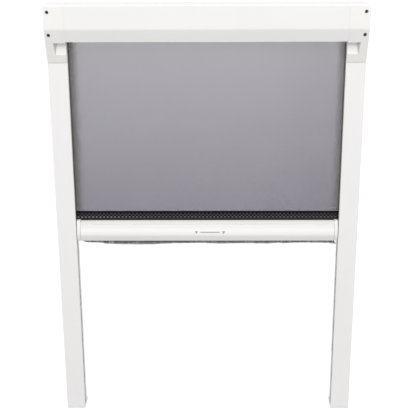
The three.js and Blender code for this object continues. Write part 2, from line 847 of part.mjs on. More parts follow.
// The brush under the bar, with its pile as separate uneven strands
function barBrush() {
  const brushY = barFrontY + barBrushSetback;
  const stripFootV = hookThickness + touchGap;
  const strip = box(-barHalf, barHalf, brushY - stripWidth / 2, brushY + stripWidth / 2,
    stripFootV, stripFootV + stripThickness);
  const step = (2 * barHalf - 2 * pileEndClear) / (barStrands - 1);
  const strands = [];
  for (let i = 0; i < barStrands; i += 1) {
    const row = (i % strandRows) - (strandRows - 1) / 2;
    const x = -barHalf + pileEndClear + i * step;
    const uneven = barPileUnevenShare * (1 + Math.sin(i * i)) / 2;
    const root = new THREE.Vector3(x, brushY + row * strandRootStep, stripFootV + stripThickness / 2);
    const tip = new THREE.Vector3(x, brushY + row * strandRootStep, -barPile * (1 - uneven));
    strands.push(strand(root, tip, strandRadius));
  }
  return carve(strip, strands, []);
}

function hemBand() {
  return box(-netHalf, netHalf, netY - hemThickness / 2, netY + hemThickness / 2, hemBottomV, hemTopV);
}

// Places of the threads' edges along one side of the net, from its first edge to its last
function threadEdges(low, high, border, count) {
  const step = (high - low - 2 * border + threadWidth) / count;
  const edges = [low];
  for (let i = 0; i < count; i += 1) {
    edges.push(low + border + i * step, low + border + (i + 1) * step - threadWidth);
  }
  edges.push(high);
  return edges;
}

// The net as a flat grid of threads, from the hem up to where it meets the roll
function netGrid(z0, z1) {
  const xs = threadEdges(-netHalf, netHalf, selvedgeWidth, netColumns);
  const zs = threadEdges(z0, z1, threadWidth, netRows);
  const front = netY - netThickness / 2;
  const back = netY + netThickness / 2;
  const neighbours = [[0, -1], [1, 0], [0, 1], [-1, 0]];
  const isInside = (i, j) => i >= 0 && j >= 0 && i < xs.length - 1 && j < zs.length - 1;
  const isThread = (i, j) => isInside(i, j) && !(i % 2 && j % 2);
  const corners = [];
  const addFace = (a, b, c, d) => corners.push(...a, ...b, ...c, ...a, ...c, ...d);

  // One cell of the grid, with walls only where it meets a gap or the net's edge
  const addCell = (i, j) => {
    const rim = [[xs[i], zs[j]], [xs[i + 1], zs[j]], [xs[i + 1], zs[j + 1]], [xs[i], zs[j + 1]]];
    const near = rim.map(([x, z]) => [x, front, z]);
    const far = rim.map(([x, z]) => [x, back, z]);
    addFace(...near);
    addFace(...[...far].reverse());
    neighbours.forEach(([right, up], k) => {
      const next = (k + 1) % rim.length;
      if (!isThread(i + right, j + up)) {
        addFace(near[k], far[k], far[next], near[next]);
      }
    });
  };

  for (let i = 0; i < xs.length - 1; i += 1) {
    for (let j = 0; j < zs.length - 1; j += 1) {
      if (isThread(i, j)) {
        addCell(i, j);
      }
    }
  }
  const geometry = new THREE.BufferGeometry();
  geometry.setAttribute('position', new THREE.Float32BufferAttribute(corners, 3));
  return geometry;
}

// Scene graph
const screen = new THREE.Group();

const cassette = new THREE.Group();
screen.add(cassette);
addPiece(cassette, 'cassette_housing', cassetteHousing(), 'whiteCoat');
addPiece(cassette, 'cassette_brush', cassetteBrush(), 'greyPile');
addPair(cassette, 'end_cap', endCap, 'whitePlastic');
const capScrewLength = guideWidth - touchGap + screwGrip;
for (const [i, level] of ['upper', 'lower'].entries()) {
  addPair(cassette, `cap_screw_${level}`, () => {
    const screw = screwAcross(screwShankRadius, screwHeadRadius, screwHeadHeight, capScrewLength);
    screw.translate(guideWidth - touchGap, portY, portHeights[i]);
    return screw;
  }, 'steel');
}

const guides = new THREE.Group();
screen.add(guides);
addPair(guides, 'guide', guide, 'whiteCoat');
addPair(guides, 'guide_front_brush', guideFrontBrush, 'greyPile');
addPair(guides, 'guide_rear_brush', guideRearBrush, 'greyPile');
addPair(guides, 'foot_cap', footCap, 'whitePlastic');
addPair(guides, 'foot_catch', footCatch, 'blackPlastic');

const axle = new THREE.Group();
axle.position.set(0, rollerY, rollerZ);
screen.add(axle);
addPiece(axle, 'spindle', spindle(), 'steel');
addPiece(axle, 'spindle_holder', spindleHolder(), 'blackPlastic');
addPiece(axle, 'spring_anchor', springAnchor(), 'blackPlastic');
addPiece(axle, 'torsion_spring', torsionSpring(), 'steel');
addPiece(axle, 'idle_bearing', idleBearing(), 'blackPlastic');
addPiece(axle, 'roller_tube', rollerTube(), 'aluminium');
addPiece(axle, 'left_tube_plug', mirrored(tubePlug(spindleRadius + touchGap)), 'blackPlastic');
addPiece(axle, 'right_tube_plug', tubePlug(pinRadius + touchGap), 'blackPlastic');
const pinEndX = bearingX + holderDepth - touchGap;
addPiece(axle, 'idle_pin', rodAcross(pinRadius, tubeHalf - pinInset, pinEndX, 0, 0), 'steel');
const tubeSpline = rodAcross(splineRadius, -tubeHalf, tubeHalf, -grooveCentre, 0, smallSegments);
addPiece(axle, 'tube_spline', tubeSpline, 'blackPlastic');
const rollOuterRadius = windRadius - netThickness / 2 - touchGap;
const rollRing = ring(rollOuterRadius, tubeRadius + touchGap);
const netRoll = extrudeAcross(rollRing, -netHalf, netHalf, roundSegments);
addPiece(axle, 'net_roll', netRoll, 'netThread');

const bar = new THREE.Group();
bar.position.z = barRestHeight;
screen.add(bar);
addPiece(bar, 'bottom_bar', bottomBar(), 'whiteCoat');
addPair(bar, 'bar_shoe', barShoe, 'whitePlastic');
addPair(bar, 'shoe_screw', () => {
  const screw = screwAcross(screwShankRadius, screwHeadRadius, shoeScrewHead, shoeScrewLength);
  screw.translate(-shoeSideGap - touchGap, shoeScrewY, shoeScrewRise);
  return screw;
}, 'steel');
addPiece(bar, 'bar_spline', rodAcross(barSplineRadius, -barHalf, barHalf, netY, keyholeV), 'blackPlastic');
addPiece(bar, 'hem_band', hemBand(), 'hemTape');
addPiece(bar, 'bar_brush', barBrush(), 'greyPile');
const netFootZ = barRestHeight + hemTopV + touchGap;
addPiece(screen, 'net', netGrid(netFootZ, rollerZ), 'netThread');

console.log(`least gap between the spring's turns: ${leastSpringGap().toFixed(2)} mm`);

export default screen;
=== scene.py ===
# Roller insect screen: finishes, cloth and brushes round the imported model.
# Metres, in the model's own frame: X across the window, Y from the room to the glass, Z up.

import math

import bmesh
import bpy
import numpy as np
from mathutils import Matrix, Vector


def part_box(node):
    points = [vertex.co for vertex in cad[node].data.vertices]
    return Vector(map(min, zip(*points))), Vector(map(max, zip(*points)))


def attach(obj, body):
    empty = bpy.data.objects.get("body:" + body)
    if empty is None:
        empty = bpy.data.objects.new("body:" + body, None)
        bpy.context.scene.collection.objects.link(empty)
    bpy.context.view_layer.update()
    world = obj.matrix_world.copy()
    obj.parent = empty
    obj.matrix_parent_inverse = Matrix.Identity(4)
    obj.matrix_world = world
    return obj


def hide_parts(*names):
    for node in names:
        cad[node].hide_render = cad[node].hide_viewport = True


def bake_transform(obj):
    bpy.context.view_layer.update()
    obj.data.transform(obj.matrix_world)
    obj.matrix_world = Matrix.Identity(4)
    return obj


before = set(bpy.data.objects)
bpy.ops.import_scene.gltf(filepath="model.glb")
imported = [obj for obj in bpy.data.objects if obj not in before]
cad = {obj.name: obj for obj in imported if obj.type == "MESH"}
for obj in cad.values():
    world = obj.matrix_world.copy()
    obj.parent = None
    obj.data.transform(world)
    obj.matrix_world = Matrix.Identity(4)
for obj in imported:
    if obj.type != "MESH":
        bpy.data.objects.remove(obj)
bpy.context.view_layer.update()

mm = 0.001
degree = math.pi / 180
chance = np.random.default_rng(5)

# Camera, as fitted to the edges in the photograph
camera_place = Vector((8.4, -1120.6, 661.8)) * mm
camera_pitch = 17.81 * degree
camera_yaw = 0.54 * degree
camera_roll = -0.22 * degree
camera_lens = 77.53

# Light and floor
world_colour = (0.98, 0.985, 1, 1)
world_strength = 0.62
white = (1, 1, 1, 1)
lamp_colour = (1, 0.995, 0.985)
lamp_energy = 35.3
lamp_width = 2.2
lamp_length = 1.4
lamp_place = Vector((0.05, -1.55, 2.02))
lamp_aim = Vector((0, 0, 0.45))
floor_radius = 40
floor_tone = 0.53
floor_glow = 0.68

# Mesh work
same_place = 0.01 * mm
flat_angle = 1 * degree
sharp_angle = 30 * degree

# Share of an edge's length along an axis, above which it follows that axis or below which it crosses it
follows_axis = 0.9
crosses_axis = 0.5

# Cassette, end caps and foot caps
joint_closing = 0.22 * mm
cap_edge = 0.5 * mm
cap_side_reach = 0.05 * mm
cap_legs_height = 20 * mm
foot_edge = 0.4 * mm
foot_flange_top = 3.1 * mm

# Heights on the bar where its painted highlight and painted shade change
face_foot = 262 * mm
face_middle = 269.4 * mm
bead_foot = 275.5 * mm
tone_blur = 0.8 * mm

# Net
thread_pitch = 0.75 * mm
thread_width = 0.3 * mm
level_depth = 0.371 * mm
upright_depth = 0.2 * mm
selvedge_start = 160 * mm
selvedge_end = 172 * mm
left_edge_tightening = 0.55
right_edge_tightening = 0.5
right_start = 60 * mm
right_end = 150 * mm
right_tightening = 0.12
row_tightening = 0.28
row_even_share = 0.76
row_sag = 0.14
# Distances from the middle between which the net's threads turn paler, a painted lift against the shade
# by the guides
painted_lift_start = 166 * mm
painted_lift_end = 171 * mm

# Net on the roller
roll_turns = 4
roll_steps_per_turn = 36
roll_layer = 0.26 * mm
roll_skin = 0.18 * mm
roll_clear = 0.1 * mm

# Hem tape and its stitches
stitch_pitch = 4.92 * mm
stitch_lower = 284.4 * mm
stitch_upper = 290.4 * mm
stitch_radius = 0.3 * mm
stitch_width_share = 1.4
stitch_depth_share = 2
stitch_wobble = 0.12 * mm
dash_length = 2.3 * mm
dash_radius = 0.5 * mm
dash_depth_share = 0.8
pale_seam_start = -170 * mm
pale_seam_end = -60 * mm
tape_edge = 0.5 * mm
channel_half = 0.55 * mm
channel_depth = 0.25 * mm

# Distances from the middle between which the outer wall of an end cap's notch stands, where painted
# shade goes, and products of place and normal along X between which a face comes to count as facing
# inwards
notch_wall_near = 183 * mm
notch_wall_far = 193 * mm
notch_wall_blur = 1 * mm
inwards_start = -60 * mm
inwards_full = -90 * mm

# Brush pile
fibre_radius = 0.11 * mm
fibre_tip_share = 0.45
not_along_fibre = (0.31, 0.21, 1.01)
backing_depth = 1 * mm
pile_end_clear = 1 * mm

# Pile in the guides: it peeps out of the slot more below the bar, and fans out at the foot
guide_fibres = 5600
guide_root_share = 0.55
guide_tip_share = 0.95
guide_shortest_share = 0.86
guide_scatter = 0.25 * mm
guide_scatter_along = 0.5 * mm
guide_pile_front = -5 * mm
guide_pile_back = 10 * mm
# Heights around the bar's foot across which the pile peeps out further below, and goes from painted
# shade below to a painted lift above
pile_change_foot = 240 * mm
pile_change_top = 256 * mm
peep_above = 0.2 * mm
peep_below = {"left": 1.15 * mm, "right": 1.4 * mm}
peep_parked = 0.85 * mm
parked_height = 42 * mm
fan_height = 9 * mm
fan_reach = 1.4 * mm
fan_drop = 0.5 * mm

# Pile under the bar
bar_fibres = 7000
bar_root_share = 0.5
bar_tip_share = 0.9
bar_root_rise = 0.3 * mm
bar_shortest_share = 0.85
bar_scatter = 0.4 * mm
comb_wave = 0.5 * mm
comb_turn_per_metre = 90
sweep_start = 160 * mm
sweep_reach = 6 * mm
bar_pile_root = 253 * mm
bar_pile_tip = 246.5 * mm

# Pile at the cassette's outlet
cassette_fibres = 1800
cassette_root_share = 0.5
cassette_tip_share = 0.65
cassette_scatter = 0.4 * mm
cassette_shortening = 0.5 * mm

# Depth of the finishes' relief
coat_relief = 0.03 * mm
plastic_relief = 0.02 * mm
thread_relief = 0.05 * mm
weave_relief = 0.12 * mm
stitch_relief = 0.08 * mm
metal_relief = 0.02 * mm
black_relief = 0.03 * mm

# Marks on the bar, and the depth from which they are laid onto its face
mark_middle = 3.7 * mm
mark_height = 266.1 * mm
mark_spread = 18.2 * mm
mark_size = 2.4 * mm
mark_start = -40 * mm
line_length = 26 * mm
line_width = 1.1 * mm
ink_thickness = 0.05 * mm


def activate(piece):
    """Leaves only this piece selected, and makes it the active one."""
    bpy.ops.object.select_all(action="DESELECT")
    piece.select_set(True)
    bpy.context.view_layer.objects.active = piece


def added(name):
    """Names the piece that was just added or joined, and leaves only it selected."""
    piece = bpy.context.object
    piece.name = name
    activate(piece)
    return piece


def settled(piece):
    """Puts a piece's place, turn and size into its mesh."""
    activate(piece)
    bpy.ops.object.transform_apply(location=True, rotation=True, scale=True)
    return piece


def modified(piece, kind, **settings):
    """Adds one modifier and applies it."""
    modifier = piece.modifiers.new(kind.lower(), kind)
    for name, value in settings.items():
        setattr(modifier, name, value)
    activate(piece)
    bpy.ops.object.modifier_apply(modifier=modifier.name)
    return piece


def joined(name, pieces):
    """Makes several pieces one."""
    activate(pieces[0])
    for piece in pieces[1:]:
        piece.select_set(True)
    bpy.ops.object.join()
    return added(name)


def smoothed(piece, angle=35):
    """Smooth shading across shallow edges, with wide flat faces left flat."""
    activate(piece)
    bpy.ops.object.shade_smooth_by_angle(angle=angle * degree)
    return modified(piece, "WEIGHTED_NORMAL", keep_sharp=True)


def rounded_edges(piece, width, is_wanted, segments=2):
    """Rounds the sharp edges whose middle and direction is_wanted picks."""
    activate(piece)
    bpy.ops.object.mode_set(mode="EDIT")
    bpy.ops.mesh.select_mode(type="EDGE")
    shape = bmesh.from_edit_mesh(piece.data)
    for edge in shape.edges:
        start, end = (corner.co for corner in edge.verts)
        is_sharp = len(edge.link_faces) == 2 and edge.calc_face_angle() > sharp_angle
        edge.select_set(is_sharp and is_wanted((start + end) / 2, (end - start).normalized()))
    bmesh.update_edit_mesh(piece.data)
    bpy.ops.mesh.bevel(offset=width, segments=segments, profile=0.5, clamp_overlap=False)
    bpy.ops.object.mode_set(mode="OBJECT")
    return piece


def copy_of(node, ending):
    """A copy of a CAD node as one clean skin, ready to be finished."""
    piece = bpy.data.objects.new(f"{node}_{ending}", cad[node].data.copy())
    bpy.context.scene.collection.objects.link(piece)
    activate(piece)
    bpy.ops.mesh.customdata_custom_splitnormals_clear()
    bpy.ops.object.mode_set(mode="EDIT")
    bpy.ops.mesh.select_all(action="SELECT")
    bpy.ops.mesh.remove_doubles(threshold=same_place)
    bpy.ops.mesh.dissolve_limited(angle_limit=flat_angle)
    bpy.ops.object.mode_set(mode="OBJECT")
    return piece


def repeated(name, template, origins, across, deep, along):
    """Copies of a small template, each with its own origin and three edge vectors, as one mesh."""
    corners = np.array([corner.co for corner in template.data.vertices])
    placed = (
        origins[:, None]
        + corners[:, 0, None] * across[:, None]
        + corners[:, 1, None] * deep[:, None]
        + corners[:, 2, None] * along[:, None]
    )
    count = len(corners)
    # Sorted, because Blender lists a sphere's faces in another order on each run
    template_faces = sorted(tuple(face.vertices) for face in template.data.polygons)
    faces = [
        [corner + i * count for corner in face]
        for i in range(len(origins))
        for face in template_faces
    ]
    mesh = bpy.data.meshes.new(name)
    mesh.from_pydata(placed.reshape(-1, 3), [], faces)
    piece = bpy.data.objects.new(name, mesh)
    bpy.context.scene.collection.objects.link(piece)
    bpy.data.objects.remove(template)
    return piece


def rows_of(vector, count):
    """The same vector in each of count rows."""
    return np.tile(np.array(vector, float), (count, 1))


def thread_template(sides, turn=0):
    """A thread about one unit across and one long, from its foot up, turned about its length."""
    radius = 0.5 / math.cos(turn)
    bpy.ops.mesh.primitive_cylinder_add(
        vertices=sides, radius=radius, depth=1, location=(0, 0, 0.5), rotation=(0, 0, turn))
    return settled(added("thread"))


def fibre_template():
    """A three-sided fibre of unit radius and length that thins towards its tip."""
    bpy.ops.mesh.primitive_cone_add(
        vertices=3, radius1=1, radius2=fibre_tip_share, depth=1, location=(0, 0, 0.5))
    return settled(added("fibre"))


def fibres(name, roots, tips, radius):
    """Fibres from their roots to their tips."""
    along = tips - roots
    across = np.cross(along, rows_of(not_along_fibre, len(along)))
    across /= np.linalg.norm(across, axis=1)[:, None]
    deep = np.cross(along, across)
    deep /= np.linalg.norm(deep, axis=1)[:, None]
    return repeated(name, fibre_template(), roots, across * radius, deep * radius, along)


def clean_box(name, low, high):
    """A block between two corners, to be shaped further."""
    low, high = Vector(low), Vector(high)
    bpy.ops.mesh.primitive_cube_add(size=1, location=(low + high) / 2, scale=high - low)
    return settled(added(name))


# Shader values
class Value:
    """One output of a shader node, with arithmetic that adds Math nodes."""

    def __init__(self, owner, socket):
        self.owner = owner
        self.socket = socket

    def joined_with(self, operation, first, second):
        return self.owner.node("ShaderNodeMath", {0: first, 1: second}, operation=operation)

    def __add__(self, other):
        return self.joined_with("ADD", self, other)

    def __rsub__(self, other):
        return self.joined_with("SUBTRACT", other, self)

    def __mul__(self, other):
        return self.joined_with("MULTIPLY", self, other)

    def __or__(self, other):
        return self.joined_with("MAXIMUM", self, other)

    __radd__ = __add__
    __rmul__ = __mul__


class NodeTree:
    """A node tree of a material or of the world, with one way to add any node."""

    def __init__(self, owner):
        owner.use_nodes = True
        self.tree = owner.node_tree

    def node(self, kind, inputs, output=0, **settings):
        """Any node: its settings first, then the values or links of its sockets."""
        node = self.tree.nodes.new(kind)
        for name, value in settings.items():
            setattr(node, name, value)
        for key, value in inputs.items():
            self.feed(node.inputs[key], value)
        return Value(self, node.outputs[output])

    def feed(self, socket, value):
        if isinstance(value, Value):
            self.tree.links.new(value.socket, socket)
        else:
            socket.default_value = value

    def rays(self, kind):
        """One for rays of this kind, and zero for all others."""
        return self.node("ShaderNodeLightPath", {}, output=f"Is {kind} Ray")

    def plain_sight(self):
        """One for rays from the camera, from gloss and through glass, and zero for the light's own."""
        return self.rays("Camera") | self.rays("Glossy") | self.rays("Transmission")


class Finish(NodeTree):
    """A material and the few ways in which this screen's finishes are put together."""

    def __init__(self, name, fixed=None):
        self.material = bpy.data.materials.new(name)
        super().__init__(self.material)
        self.shader = self.tree.nodes["Principled BSDF"]
        for socket, value in (fixed or {}).items():
            self.feed(self.shader.inputs[socket], value)

    def place(self, stretch=(1, 1, 1), turn=(0, 0, 0)):
        """The object's own coordinates, stretched or turned for a pattern."""
        spot = self.node("ShaderNodeTexCoord", {}, output="Object")
        return self.node("ShaderNodeMapping", {"Vector": spot, "Scale": stretch, "Rotation": turn})

    def axis(self, letter):
        spot = self.node("ShaderNodeTexCoord", {}, output="Object")
        return self.node("ShaderNodeSeparateXYZ", {0: spot}, output=letter)

    def noise(self, scale, detail=2, stretch=(1, 1, 1)):
        inputs = {"Vector": self.place(stretch), "Scale": scale, "Detail": detail}
        return self.node("ShaderNodeTexNoise", inputs)

    def ramp(self, value, low, high):
        """Zero below low and one above high, straight between."""
        inputs = {"Value": value, "From Min": low, "From Max": high}
        return self.node("ShaderNodeMapRange", inputs)

    def mixed(self, share, first, second):
        """A colour between two, each of which is written out or comes from a node."""
        first, second = ((*end, 1) if isinstance(end, tuple) else end for end in (first, second))
        return self.node("ShaderNodeMix", {0: share, 6: first, 7: second}, output=2, data_type="RGBA")

    def colour(self, value):
        self.feed(self.shader.inputs["Base Color"], value)

    def roughness(self, value):
        self.feed(self.shader.inputs["Roughness"], value)

    def bump(self, height, distance, strength=1.0):
        inputs = {"Height": height, "Distance": distance, "Strength": strength}
        self.feed(self.shader.inputs["Normal"], self.node("ShaderNodeBump", inputs))


def bar_painted_light(finish, skin):
    """The bar's coat, painted lighter along its bead against the shade there, with a painted highlight
    along the middle of its face and painted shade between the two.
    """
    z = finish.axis("Z")
    # Painted light: the bead is painted lighter against its shade, the face's middle gets a painted
    # highlight, and the band between them gets painted shade
    bead = finish.ramp(z, bead_foot, bead_foot + tone_blur)
    above = finish.ramp(z, face_middle, bead_foot)
    painted_lift = finish.ramp(z, face_foot, face_middle) * (1 - above)
    face = finish.mixed(painted_lift, skin, (0.96, 0.95, 0.935))
    shoulder = finish.mixed(above, face, (0.825, 0.815, 0.8))
    return finish.mixed(bead, shoulder, (0.99, 0.98, 0.96))


def powder_coat(name, painted_light_of=None):
    """Satin white powder coat, with a fine orange peel and a faint unevenness, and, if given, painted
    highlight and shade over it.
    """
    finish = Finish(name, {"Coat Weight": 0.12, "Coat Roughness": 0.25})
    cloud = finish.noise(scale=9, detail=3)
    grain = finish.noise(scale=1400, detail=2)
    skin = finish.mixed(cloud, (0.86, 0.854, 0.838), (0.9, 0.894, 0.878))
    finish.colour(painted_light_of(finish, skin) if painted_light_of else skin)
    finish.roughness(0.3 + 0.16 * grain)
    peel = finish.noise(scale=650, detail=1)
    finish.bump(peel * 0.7 + grain * 0.3, coat_relief)
    return finish.material


def is_notch_wall(finish):
    """One on the outer wall of an end cap's notch, which faces the middle and is given painted shade.
    """
    x = finish.axis("X")
    facing = finish.node("ShaderNodeNewGeometry", {}, output="Normal")
    sideways = finish.node("ShaderNodeSeparateXYZ", {0: facing}, output="X")
    inwards = finish.ramp(x * sideways, inwards_start, inwards_full)
    distance = finish.node("ShaderNodeMath", {0: x}, operation="ABSOLUTE")
    beyond_near = finish.ramp(distance, notch_wall_near - notch_wall_blur, notch_wall_near)
    beyond_far = finish.ramp(distance, notch_wall_far, notch_wall_far + notch_wall_blur)
    return inwards * beyond_near * (1 - beyond_far)


def moulded_white():
    """Injection-moulded white plastic, a little warmer than the coat, with a spark-eroded skin and
    painted shade on the outer walls of the end caps' notches.
    """
    finish = Finish("moulded_white")
    cloud = finish.noise(scale=14, detail=2)
    grain = finish.noise(scale=2600, detail=2)
    skin = finish.mixed(cloud, (0.875, 0.866, 0.84), (0.91, 0.901, 0.875))
    # Painted shade on the outer wall of each end cap's notch
    finish.colour(finish.mixed(is_notch_wall(finish), skin, (0.6, 0.595, 0.57)))
    finish.roughness(0.42 + 0.16 * grain)
    finish.bump(grain, plastic_relief)
    return finish.material


def coated_thread():
    """Glass-fibre thread in a dark grey coat, a little purple, and painted paler and greyer along the
    side edges to lift the shade that the guides cast there.
    """
    finish = Finish("coated_thread")
    cloud = finish.noise(scale=11, detail=4)
    twist = finish.noise(scale=900, detail=1)
    x = finish.axis("X")
    # Painted light: threads near the side edges are painted paler to lift the guides' shade
    painted_lift = finish.ramp(x, painted_lift_start, painted_lift_end) + finish.ramp(0 - x, painted_lift_start, painted_lift_end)
    coat_colour = finish.mixed(cloud, (0.055, 0.038, 0.085), (0.08, 0.06, 0.115))
    finish.colour(finish.mixed(painted_lift, coat_colour, (0.12, 0.113, 0.108)))
    finish.roughness(0.6 + 0.2 * twist)
    finish.bump(twist, thread_relief)
    return finish.material


def woven_tape():
    """Black tape with a fine twill, dusty where it meets the bar."""
    finish = Finish("woven_tape", {"Roughness": 0.95, "Specular IOR Level": 0.06})
    slant = finish.node(
        "ShaderNodeTexWave",
        {"Vector": finish.place(turn=(0, 42 * degree, 0)), "Scale": 330, "Distortion": 0.6},
        output="Fac", bands_direction="X")
    fluff = finish.noise(scale=700, detail=3)
    weave = finish.mixed(slant * 0.6 + fluff * 0.4, (0.002, 0.002, 0.003), (0.01, 0.0095, 0.0115))
    dust = 1 - finish.ramp(finish.axis("Z"), stitch_lower - 2 * dash_radius, stitch_lower)
    finish.colour(finish.mixed(dust * (0.5 + 0.5 * fluff), weave, (0.042, 0.041, 0.036)))
    finish.bump(slant + fluff * 0.5, weave_relief)
    return finish.material


def stitch_thread():
    """Sewing thread, grey along the lower seam, paler on its left, and nearly black in the slants."""
    finish = Finish("stitch_thread", {"Roughness": 0.7})
    leftness = 1 - finish.ramp(finish.axis("X"), pale_seam_start, pale_seam_end)
    patchy = finish.noise(scale=60, detail=2)
    ply = finish.noise(scale=1800, detail=1)
    seam = finish.mixed(leftness * patchy, (0.2, 0.2, 0.19), (0.62, 0.62, 0.59))
    rise = finish.ramp(finish.axis("Z"), stitch_lower + dash_radius, stitch_lower + 2 * dash_radius)
    finish.colour(finish.mixed(rise, seam, (0.078, 0.076, 0.088)))
    finish.bump(ply, stitch_relief)
    return finish.material


def bar_pile():
    """Brush fibres under the bar, each a little different, that pale from root to tip."""
    finish = Finish("bar_pile", {"Roughness": 0.8, "Specular IOR Level": 0.3})
    each = finish.noise(scale=1500, detail=1)
    length = finish.ramp(finish.axis("Z"), bar_pile_root, bar_pile_tip)
    finish.colour(finish.mixed(length * 0.7 + each * 0.3, (0.05, 0.05, 0.05), (0.24, 0.24, 0.24)))
    return finish.material


def guide_pile():
    """Brush fibres in the guides, paler at their tips, painted lighter above the bar to lift the shade
    beside the net, and painted darker below it as shade in the slot.
    """
    finish = Finish("guide_pile", {"Roughness": 0.8, "Specular IOR Level": 0.3})
    each = finish.noise(scale=1500, detail=1)
    depth = finish.ramp(finish.axis("Y"), guide_pile_front, guide_pile_back)
    share = depth * 0.7 + each * 0.3
    painted_lift = finish.mixed(share, (0.18, 0.174, 0.162), (0.36, 0.345, 0.32))
    painted_shade_below = finish.mixed(share, (0.022, 0.021, 0.02), (0.08, 0.077, 0.073))
    # Painted light: darker pile below the bar as painted shade in the slot, paler pile above it against
    # the shade beside the net
    finish.colour(finish.mixed(finish.ramp(finish.axis("Z"), pile_change_foot, pile_change_top), painted_shade_below, painted_lift))
    return finish.material


def drawn_metal(name, low, high, stretch, rough, grain_scale):
    """Bare metal with a fine grain, which a stretch under one draws out into lines."""
    finish = Finish(name, {"Metallic": 1.0})
    lines = finish.noise(grain_scale, detail=4, stretch=stretch)
    dull = finish.noise(scale=40, detail=3)
    finish.colour(finish.mixed(dull, low, high))
    finish.roughness(rough + 0.2 * lines)
    finish.bump(lines, metal_relief)
    return finish.material


def black_moulding():
    """Black moulded plastic with a fine grain and a few paler rubs."""
    finish = Finish("black_moulding")
    grain = finish.noise(scale=2200, detail=2)
    rub = finish.ramp(finish.noise(scale=120, detail=4), low=0.55, high=0.75)
    finish.colour(finish.mixed(rub, (0.022, 0.022, 0.024), (0.045, 0.045, 0.048)))
    finish.roughness(0.45 + 0.25 * grain)
    finish.bump(grain, black_relief)
    return finish.material


def grey_ink():
    """Pad-printed grey ink."""
    finish = Finish("grey_ink")
    worn = finish.noise(scale=1500, detail=3)
    finish.colour(finish.mixed(worn, (0.2, 0.2, 0.2), (0.32, 0.32, 0.31)))
    finish.roughness(0.5 + 0.2 * worn)
    return finish.material


# Camera and stage
def place_camera():
    """The camera, where the photograph was taken from."""
    data = bpy.data.cameras.new("camera")
    data.lens = camera_lens
    camera = bpy.data.objects.new("camera", data)
    bpy.context.scene.collection.objects.link(camera)
    aim = Matrix.Rotation(camera_yaw, 4, "Z") @ Matrix.Rotation(math.pi / 2 - camera_pitch, 4, "X")
    camera.matrix_world = Matrix.Translation(camera_place) @ aim @ Matrix.Rotation(camera_roll, 4, "Z")
    bpy.context.scene.camera = camera


def light_the_stage():
    """A white surround, an even soft world and one broad lamp above the room side."""
    world = bpy.data.worlds.new("surround")
    bpy.context.scene.world = world
    air = NodeTree(world)
    light = air.node("ShaderNodeBackground", {"Color": world_colour, "Strength": world_strength})
    backdrop = air.node("ShaderNodeBackground", {"Color": white, "Strength": 1})
    seen = air.node("ShaderNodeMixShader", {0: air.plain_sight(), 1: light, 2: backdrop})
    air.feed(air.tree.nodes["World Output"].inputs["Surface"], seen)

    lamp = bpy.data.lights.new("soft_lamp", "AREA")
    lamp.shape = "RECTANGLE"
    lamp.size = lamp_width
    lamp.size_y = lamp_length
    lamp.energy = lamp_energy
    lamp.color = lamp_colour
    holder = bpy.data.objects.new("soft_lamp", lamp)
    bpy.context.scene.collection.objects.link(holder)
    holder.location = lamp_place
    holder.rotation_euler = (lamp_aim - lamp_place).to_track_quat("-Z", "Y").to_euler()


def lay_the_floor():
    """A plain white floor that shows only the object's soft shadow."""
    bpy.ops.mesh.primitive_circle_add(vertices=64, radius=floor_radius, fill_type="NGON")
    floor = added("floor")
    tone = (*[floor_tone] * 3, 1)
    finish = Finish("floor_white", {"Base Color": tone, "Roughness": 0.9, "Emission Strength": 1})
    glow = finish.plain_sight() * floor_glow
    finish.feed(finish.shader.inputs["Emission Color"], glow)
    floor.data.materials.append(finish.material)


# Pieces
def dressed(piece, material, body, slot, *replaced):
    """Gives a piece its finish and its body, and hides the CAD nodes that it stands for."""
    piece.data.materials.clear()
    piece.data.materials.append(material)
    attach(piece, body)
    if replaced:
        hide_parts(*replaced)
    return piece


def cassette_housing(coat):
    """The housing, grown at both ends so that its joints with the caps close to a hairline."""
    piece = copy_of("cassette_housing", "coated")
    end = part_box("cassette_housing")[1].x
    for corner in piece.data.vertices:
        if abs(corner.co.x) > end - same_place:
            corner.co.x += math.copysign(joint_closing, corner.co.x)
    dressed(smoothed(piece), coat, "frame", "white_coat", "cassette_housing")


def end_cap(side, plastic):
    """An end cap with its outer edges rounded, above its legs."""
    node = f"{side}_end_cap"
    piece = copy_of(node, "moulded")
    low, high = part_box(node)
    outer = max(abs(low.x), abs(high.x))

    def is_outer_edge(middle, way):
        is_at_side = abs(abs(middle.x) - outer) < cap_side_reach
        return is_at_side and middle.z > low.z + cap_legs_height and abs(way.x) < crosses_axis

    rounded_edges(piece, cap_edge, is_outer_edge)
    dressed(smoothed(piece), plastic, "frame", "white_plastic", node)


def guide(side, coat):
    """A side guide in its coat."""
    node = f"{side}_guide"
    piece = copy_of(node, "coated")
    dressed(smoothed(piece), coat, "frame", "white_coat", node)


def foot_cap(side, plastic):
    """The cap of a guide's foot, with the level edges of its flange rounded."""
    node = f"{side}_foot_cap"
    piece = copy_of(node, "moulded")
    rounded_edges(
        piece, foot_edge,
        lambda middle, way: middle.z < foot_flange_top and abs(way.z) < crosses_axis)
    dressed(smoothed(piece), plastic, "frame", "white_plastic", node)


def bottom_bar(coat):
    """The pull bar in a coat with painted highlight and painted shade of its own."""
    piece = copy_of("bottom_bar", "coated")
    dressed(smoothed(piece, angle=30), coat, "bar", "white_coat", "bottom_bar")
    return piece


def bar_shoe(side, plastic):
    """A moulded end of the bar."""
    node = f"{side}_bar_shoe"
    piece = copy_of(node, "moulded")
    dressed(smoothed(piece), plastic, "bar", "white_plastic", node)


def thread_places(low, high, pitch_at):
    """Places of threads from one edge of the net to the other."""
    places = []
    place = low
    while place < high:
        places.append(place)
        place += pitch_at(place)
    return np.array(places)


def eased(value, low, high):
    """Zero below low and one above high, with a soft start and end."""
    share = min(max((value - low) / (high - low), 0), 1)
    return share * share * (3 - 2 * share)


